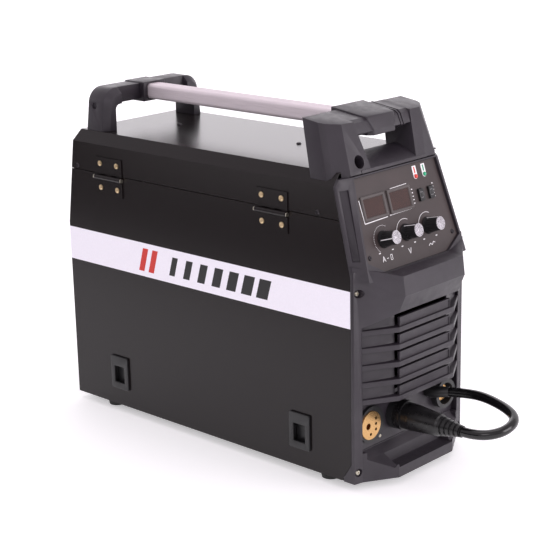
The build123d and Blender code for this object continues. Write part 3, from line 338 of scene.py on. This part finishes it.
for node, part in NODES.items():
    part.data.materials.clear()
    part.data.materials.append(YELLOW_ZINC if node.endswith("_rivets") else MATERIALS[SLOT_OF[node]])

# ---------------------------------------------------------------- mesh tools
def new_piece(name, mesh, material, body):
    """Visible piece with one material, that moves with a body."""
    mesh.materials.clear()
    mesh.materials.append(material)
    piece = bpy.data.objects.new(name, mesh)
    bpy.context.scene.collection.objects.link(piece)
    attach(piece, body)
    return piece


def mesh_from(build, name, *details, smooth=False):
    """Mesh from a function that fills a bmesh, given its details."""
    form = bmesh.new()
    build(form, *details)
    bmesh.ops.recalc_face_normals(form, faces=form.faces)
    mesh = bpy.data.meshes.new(name)
    form.to_mesh(mesh)
    form.free()
    if smooth:
        mesh.shade_smooth()
    return mesh


def add_plate(form, outline, up, thickness):
    """Closed plate: an outline of points, thickened along a direction."""
    low = [form.verts.new(p) for p in outline]
    high = [form.verts.new(p + up * thickness * MM) for p in outline]
    form.faces.new(low)
    form.faces.new(high)
    for index in range(len(outline)):
        following = (index + 1) % len(outline)
        form.faces.new((low[index], low[following], high[following], high[index]))


def panel_plate(form, outline, out, thickness):
    """Closed plate on the control panel, from an outline of (x, up) points."""
    add_plate(form, [on_panel(x, up, out) for x, up in outline], PANEL_OUT, thickness)


def add_rings(form, rings):
    """Skin of four-sided faces between closed rings of equally many vertices."""
    for first, second in zip(rings, rings[1:]):
        for k in range(len(first)):
            following = (k + 1) % len(first)
            form.faces.new((first[k], first[following], second[following], second[k]))


# Softened copies of the moulded parts: the same shapes with their edges rounded over.
WELD_DISTANCE = 2e-6       # metres
FLAT_ANGLE = math.radians(1.5)
EDGE_ANGLE = math.radians(24)
EDGE_STEPS = 3
SHARP_ANGLE = math.radians(38)


def soften(node, radius, name):
    """Show a CAD piece's shape with its edges rounded to a radius in millimetres."""
    form = bmesh.new()
    form.from_mesh(NODES[node].data)
    bmesh.ops.remove_doubles(form, verts=form.verts, dist=WELD_DISTANCE)
    bmesh.ops.dissolve_limit(form, angle_limit=FLAT_ANGLE, verts=form.verts, edges=form.edges)
    mesh = bpy.data.meshes.new(name)
    form.to_mesh(mesh)
    form.free()
    piece = new_piece(name, mesh, MATERIALS[SLOT_OF[node]], BODY_OF[node])
    bevel = piece.modifiers.new("edges", "BEVEL")
    bevel.width = radius * MM
    bevel.segments = EDGE_STEPS
    bevel.limit_method = "ANGLE"
    bevel.angle_limit = EDGE_ANGLE
    bevel.miter_outer = "MITER_ARC"
    deps = bpy.context.evaluated_depsgraph_get()
    finished = bpy.data.meshes.new_from_object(piece.evaluated_get(deps))
    piece.modifiers.clear()
    piece.data = finished
    finished.shade_smooth()
    finished.set_sharp_from_angle(angle=SHARP_ANGLE)
    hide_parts(node)


SOFT_EDGES = [
    ("front_handle", 3.0, "front_grip_moulding"), ("rear_handle", 2.5, "rear_grip_moulding"),
    ("tube_collars", 1.4, "tube_collar_mouldings"), ("front_bezel", 1.2, "front_moulding"),
    ("louvre_grille", 0.6, "louvre_moulding"), ("connector_panel", 0.9, "connector_moulding"),
    ("latch_housings", 0.6, "latch_frames"),
]
for node, radius, name in SOFT_EDGES:
    soften(node, radius, name)

# ---------------------------------------------------------------- control panel artwork
# Each knob's place across the panel, and the direction of its pointer in degrees.
KNOBS = {"current_knob": (-48.0, 180.0), "voltage_knob": (-6.0, 122.0), "inductance_knob": (36.0, 106.0)}
KNOB_ROW = -11.0
PRINT = 0.12               # thickness of the print
PRINT_OUT = 0.02           # and how far its underside stands off the film


def add_stroke(form, points, width, start_out=PRINT_OUT, thickness=PRINT):
    """Printed line through (x, up) points on the panel, as overlapping plates."""
    for (x0, u0), (x1, u1) in zip(points, points[1:]):
        length = math.hypot(x1 - x0, u1 - u0)
        sx = (u0 - u1) / length * width / 2
        su = (x1 - x0) / length * width / 2
        ring = [(x0 - sx, u0 - su), (x1 - sx, u1 - su), (x1 + sx, u1 + su), (x0 + sx, u0 + su)]
        panel_plate(form, ring, start_out, thickness)


def add_arc(form, x, up, radius, start, end, width, steps=28):
    """One printed arc as a single closed strip."""
    angles = [math.radians(start + (end - start) * step / steps) for step in range(steps + 1)]
    rings = []
    for reach, lift in ((-1, 0.0), (1, 0.0), (1, PRINT), (-1, PRINT)):
        r = radius + reach * width / 2
        rings.append([form.verts.new(on_panel(x + r * math.cos(a), up + r * math.sin(a), PRINT_OUT + lift))
                      for a in angles])
    for first, second in zip(rings, rings[1:] + rings[:1]):
        for k in range(steps):
            form.faces.new((first[k], first[k + 1], second[k + 1], second[k]))
    for k in (0, steps):
        form.faces.new([ring[k] for ring in rings])


def panel_artwork(form):
    """Everything printed in white on the film, in (x, up) millimetres."""
    add_stroke(form, [(-74.5, 40), (-73, 12), (-31, 13)], 1.1)
    add_stroke(form, [(-27, 13.6), (15.7, 14.2)], 1.0)
    add_stroke(form, [(-16, 43.6), (15, 44.4)], 0.8)
    for row in range(5):
        add_stroke(form, [(21.2, 19 + 4.2 * row), (23.4, 19 + 4.2 * row)], 1.1)
        add_stroke(form, [(61.4, 20.5 + 4.0 * row), (63.6, 20.5 + 4.0 * row)], 1.1)
    for x, _ in KNOBS.values():
        for dx in (-12.0, 12.0):
            add_stroke(form, [(x + dx - 1.6, KNOB_ROW - 14.5), (x + dx + 1.6, KNOB_ROW - 14.5)], 1.2)
    for index in range(26):
        angle = math.radians(60 + 170 * index / 25)
        x = KNOBS["current_knob"][0] + 16.6 * math.cos(angle)
        up = KNOB_ROW + 16.6 * math.sin(angle)
        add_stroke(form, [(x - 0.35, up), (x + 0.35, up)], 0.7)
    for label in ("voltage_knob", "inductance_knob"):
        add_arc(form, KNOBS[label][0], KNOB_ROW, 16.4, 62, 205, 0.6)
    add_stroke(form, [(-57.4, -36.5), (-55, -30), (-52.6, -36.5)], 0.9)
    add_stroke(form, [(-56.4, -34.2), (-53.6, -34.2)], 0.8)
    add_stroke(form, [(-49.5, -33.5), (-46.5, -33.5)], 0.8)
    add_stroke(form, [(-42.5, -36.5), (-42.5, -30.5), (-39.5, -30.5), (-39.5, -36.5), (-42.5, -36.5)], 0.8)
    add_stroke(form, [(-8.6, -30), (-6, -36.5), (-3.4, -30)], 1.0)
    add_stroke(form, [(30, -35), (33.5, -32.5), (36.5, -35), (39.5, -31.5), (42.5, -33)], 0.9)


new_piece("panel_print", mesh_from(panel_artwork, "panel_print"), INK_WHITE, "machine")

# Each lamp's place across the panel, its lens and its printed mark.
LAMPS = {"red": (35.4, RED_LENS, INK_RED), "green": (52.4, GREEN_LENS, INK_GREEN)}
LAMP_ROW = 49.5


def tab_outline(x, low, high, half):
    """Rounded-end strip on the panel, its lower end round."""
    ring = [(x + half * math.cos(a), low + half * math.sin(a))
            for a in (math.radians(180 + 180 * k / 12) for k in range(13))]
    return ring + [(x + half, high), (x - half, high)]


def add_lens(form, x):
    """Flattened ball, half sunk in the film."""
    bmesh.ops.create_uvsphere(form, u_segments=28, v_segments=16, radius=2.6 * MM)
    squash = Matrix.Diagonal((1, 1, 0.8, 1))
    bmesh.ops.transform(form, matrix=panel_matrix(x, LAMP_ROW, 0.6) @ squash, verts=form.verts)


for label, (x, lens, ink) in LAMPS.items():
    field = mesh_from(panel_plate, "tab", tab_outline(x, 50.0, 62.4, 3.7), PRINT_OUT, 0.10)
    new_piece(label + "_lamp_field", field, INK_WHITE, "machine")
    mark = mesh_from(panel_plate, "mark", tab_outline(x, 54.5, 61.0, 1.1), 0.13, 0.08)
    new_piece(label + "_lamp_mark", mark, ink, "machine")
    ball = mesh_from(add_lens, "lens", x, smooth=True)
    dome = new_piece(label + "_lamp", ball, lens, "machine")
    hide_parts("status_leds")

# ---------------------------------------------------------------- display windows
DISPLAYS = (-51.0, -3.0)
DISPLAY_ROW = 28.5
WINDOW = (34.6, 21.6)
SQUARE = [(-1, -1), (1, -1), (1, 1), (-1, 1)]
# Half width, half height and height off the film of each line round a rim, outside to inside.
RIM_SECTION = [(21.6, 14.6, 0.05), (21.6, 14.6, 1.3), (20.6, 13.6, 2.0), (18.6, 11.9, 1.9),
               (17.4, 10.9, 0.9), (17.4, 10.9, 0.05)]


def add_pane(form, x):
    """Dark window of a display."""
    ring = [(x + sx * WINDOW[0] / 2, DISPLAY_ROW + su * WINDOW[1] / 2) for sx, su in SQUARE]
    panel_plate(form, ring, 0.42, 0.35)


def display_rim(form, x):
    """Raised frame round a display, bevelled inwards and outwards."""
    rings = []
    for half_x, half_up, out in RIM_SECTION:
        rings.append([form.verts.new(on_panel(x + sx * half_x, DISPLAY_ROW + su * half_up, out))
                      for sx, su in SQUARE])
    add_rings(form, rings + rings[:1])


for index, x in enumerate(DISPLAYS):
    pane = mesh_from(add_pane, "pane", x)
    new_piece("display_pane_%d" % index, pane, DARK_WINDOW, "machine")
for index, x in enumerate(DISPLAYS):
    rim = mesh_from(display_rim, "rim", x)
    new_piece("display_rim_%d" % index, rim, RIM_GREY, "machine")

# ---------------------------------------------------------------- knob caps and pointers
CAP_OUT = 19.95
CAP_RADIUS = 8.1
CAP_HEIGHT = 0.95
PETALS = 8
POINTS_PER_PETAL = 8
SPOKE_POINTS = (3, 4)
SPOKE_DEPTH = 0.8
CAP_SHARP_ANGLE = math.radians(20)
# Radius and height of each ring of a cap, and how far it sinks at the spokes.
CAP_RINGS = [
    (CAP_RADIUS, 0.0, 0.0), (CAP_RADIUS, 0.55, 0.0),
    (CAP_RADIUS - 0.5, CAP_HEIGHT, 0.0), (CAP_RADIUS - 1.2, CAP_HEIGHT, 0.0),
    (CAP_RADIUS - 2.0, CAP_HEIGHT, SPOKE_DEPTH), (CAP_RADIUS - 3.4, CAP_HEIGHT, SPOKE_DEPTH),
    (2.2, CAP_HEIGHT, SPOKE_DEPTH * 0.7), (1.6, 1.05, 0.0),
]


def knob_cap(form, x):
    """Metal cap with petals between sunken spokes."""
    turns = PETALS * POINTS_PER_PETAL
    place = panel_matrix(x, KNOB_ROW, CAP_OUT)
    rings = []
    for radius, height, dip in CAP_RINGS:
        ring = []
        for k in range(turns):
            angle = math.tau * k / turns
            sunk = dip if k % POINTS_PER_PETAL in SPOKE_POINTS else 0.0
            spot = Vector((radius * math.cos(angle), radius * math.sin(angle), height - sunk))
            ring.append(form.verts.new(place @ (spot * MM)))
        rings.append(ring)
    add_rings(form, rings)
    form.faces.new(rings[0])
    form.faces.new(rings[-1])


def pointer_line(form, x, angle):
    """White line from the skirt's rim, up the grip, to the edge of the cap."""
    profile = [(9.9, 4.05), (9.35, 4.05), (8.32, 19.6), (8.05, 20.0)]
    half = 0.55
    a = math.radians(angle)
    side = Vector((-math.sin(a), math.cos(a), 0))
    place = panel_matrix(x, KNOB_ROW, 0.0)
    outwards = Vector((math.cos(a), math.sin(a), 0))
    corners = [(-half, 0.0), (half, 0.0), (half, PRINT), (-half, PRINT)]
    rings = []
    for radius, out in profile:
        spot = outwards * radius + Vector((0, 0, out))
        rings.append([form.verts.new(place @ ((spot + side * across + outwards * lift) * MM))
                      for across, lift in corners])
    add_rings(form, rings)
    form.faces.new(rings[0])
    form.faces.new(rings[-1])


for label, (x, angle) in KNOBS.items():
    cap = mesh_from(knob_cap, "cap", x, smooth=True)
    cap.set_sharp_from_angle(angle=CAP_SHARP_ANGLE)
    new_piece(label + "_cap", cap, SILVER, label)
    pointer = mesh_from(pointer_line, "pointer", x, angle)
    new_piece(label + "_pointer", pointer, INK_WHITE, label)

# ---------------------------------------------------------------- switch inlays
BUTTONS = {"mode_button": 36.3, "trigger_button": 55.5}
BUTTON_ROW = 26.5


def button_inlay(form, x):
    """Four short marks on a button's face."""
    for up in (BUTTON_ROW + 3.6, BUTTON_ROW - 3.6):
        for dx in (-1.3, 1.3):
            add_stroke(form, [(x + dx - 0.8, up), (x + dx + 0.8, up)], 1.5, 2.22, 0.4)


for label, x in BUTTONS.items():
    new_piece(label + "_inlay", mesh_from(button_inlay, "inlay", x), INK_GREY, label)

# ---------------------------------------------------------------- band graphic
BAND_LOW = 193.4           # underside of the band
BAND_FACE = -105.25        # its outer face
SLANT = 0.30               # lean of the bars, sideways per unit up


def slanted_bar(form, y, width, low, high):
    """Leaning bar printed on the band, between two heights over its underside."""
    ring = [(y - low * SLANT, low), (y + width - low * SLANT, low), (y + width - high * SLANT, high),
            (y - high * SLANT, high)]
    face = BAND_FACE - PRINT_OUT
    add_plate(form, [at(face, py, BAND_LOW + pz) for py, pz in ring], Vector((-1, 0, 0)), PRINT)


def dark_bars(form):
    for index in range(7):
        slanted_bar(form, 134 + 27.0 * index, 19.0 - 1.5 * index, 10.0, 35.0)


def red_bars(form):
    for y in (334, 352):
        slanted_bar(form, y, 10.0, 7.0, 38.0)


new_piece("band_bars_dark", mesh_from(dark_bars, "dark"), STRIPE_BLACK, "door")
new_piece("band_bars_red", mesh_from(red_bars, "red"), INK_RED, "door")

# ---------------------------------------------------------------- cable finish
cable.data.materials.append(MATERIALS["cable_rubber"])
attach(cable, "machine")
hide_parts("polarity_lead")

# ---------------------------------------------------------------- studio
# Lengths from here on are metres.
FLOOR_SIZE = 40.0
FLOOR_GLOW = 0.42
BACKDROP_START = 6.0
BACKDROP_BEND = 3.0
BACKDROP_TOP = 9.0
LIGHT_TINT = (1.0, 0.95, 0.99)
WORLD_COLOUR = (1.0, 0.935, 0.99, 1.0)
WORLD_STRENGTH = 0.66
# Name, place, aim, size and power of each softbox.
SOFTBOXES = [
    ("key_softbox", (0.9, -2.5, 0.95), (0.0, 0.0, 0.25), (1.5, 1.5), 27),
    ("left_softbox", (-2.2, -1.4, 1.7), (0.0, 0.0, 0.2), (1.2, 1.2), 8),
    ("top_softbox", (0.2, 0.3, 3.0), (0.0, 0.0, 0.2), (2.2, 2.2), 16),
    ("back_softbox", (2.6, 2.4, 1.3), (0.0, 0.0, 0.4), (2.8, 1.4), 12),
]
# Name, corners, tone and glow of each card that only reflections see.
CARDS = [
    ("side_flag", [(-5.0, -1.0, 0.01), (-0.66, -1.0, 0.01), (-0.66, 5.0, 0.01), (-5.0, 5.0, 0.01)],
     0.004, 0.0),
    ("side_wall_flag", [(-5.0, -1.0, 0.0), (-5.0, 5.0, 0.0), (-5.0, 5.0, 1.4), (-5.0, -1.0, 1.4)],
     0.004, 0.0),
    ("tube_card", [(-2.2, 0.6, 0.03), (-1.17, 0.6, 0.03), (-1.17, 1.6, 0.03), (-2.2, 1.6, 0.03)],
     0.8, 0.9),
]


def floor_sheet(form):
    """Large floor that turns up into a backdrop far behind the object."""
    profile = [(-FLOOR_SIZE, 0.0), (BACKDROP_START, 0.0)]
    for step in range(1, 13):
        angle = math.radians(90 * step / 12)
        profile.append((BACKDROP_START + BACKDROP_BEND * math.sin(angle),
                        BACKDROP_BEND - BACKDROP_BEND * math.cos(angle)))
    profile.append((BACKDROP_START + BACKDROP_BEND, BACKDROP_TOP))
    heading = Vector((-math.sin(CAMERA_AZIMUTH), math.cos(CAMERA_AZIMUTH), 0))
    across = Vector((heading.y, -heading.x, 0)) * FLOOR_SIZE
    rows = []
    for run, height in profile:
        spot = heading * run + Vector((0, 0, height))
        rows.append([form.verts.new(spot - across), form.verts.new(spot + across)])
    for first, second in zip(rows, rows[1:]):
        form.faces.new((first[0], first[1], second[1], second[0]))


def make_floor():
    look = Finish("floor_paper", 0.7, Emission_Strength=FLOOR_GLOW)
    look.shader.inputs["Emission Color"].default_value = (1.0, 0.99, 1.0, 1.0)
    look.colour(look.noise(1.2, 2.0), *shades((0.86, 0.86, 0.87), 0.015))
    look.bump(look.noise(400, 3.0), 0.03, 0.0002)
    mesh = mesh_from(floor_sheet, "floor", smooth=True)
    mesh.materials.append(look.material)
    floor = bpy.data.objects.new("floor", mesh)
    bpy.context.scene.collection.objects.link(floor)


def softbox(name, spot, aim, size, power):
    data = bpy.data.lights.new(name, "AREA")
    data.shape = "RECTANGLE"
    data.size, data.size_y = size
    data.energy = power
    data.color = LIGHT_TINT
    lamp = bpy.data.objects.new(name, data)
    bpy.context.scene.collection.objects.link(lamp)
    lamp.location = spot
    lamp.rotation_mode = "QUATERNION"
    lamp.rotation_quaternion = (Vector(aim) - Vector(spot)).to_track_quat("-Z", "Y")


def card_sheet(form, corners):
    form.faces.new([form.verts.new(corner) for corner in corners])


def reflected_card(name, corners, tone, glow):
    """Card that only reflections see."""
    mesh = mesh_from(card_sheet, name, corners)
    look = Finish(name, 0.9, Emission_Strength=glow, Specular_IOR_Level=0.0)
    look.shader.inputs["Emission Color"].default_value = (1.0, 0.97, 0.98, 1.0)
    look.colour(look.noise(2, 2.0), *shades((tone, tone, tone), 0.2))
    mesh.materials.append(look.material)
    card = bpy.data.objects.new(name, mesh)
    bpy.context.scene.collection.objects.link(card)
    card.visible_camera = False
    card.visible_diffuse = False
    card.visible_shadow = False


def make_world():
    world = bpy.data.worlds.new("studio")
    bpy.context.scene.world = world
    world.use_nodes = True
    background = world.node_tree.nodes["Background"]
    background.inputs["Color"].default_value = WORLD_COLOUR
    background.inputs["Strength"].default_value = WORLD_STRENGTH


make_floor()
make_world()
for settings in SOFTBOXES:
    softbox(*settings)
for settings in CARDS:
    reflected_card(*settings)
bpy.context.scene.view_settings.view_transform = "Standard"
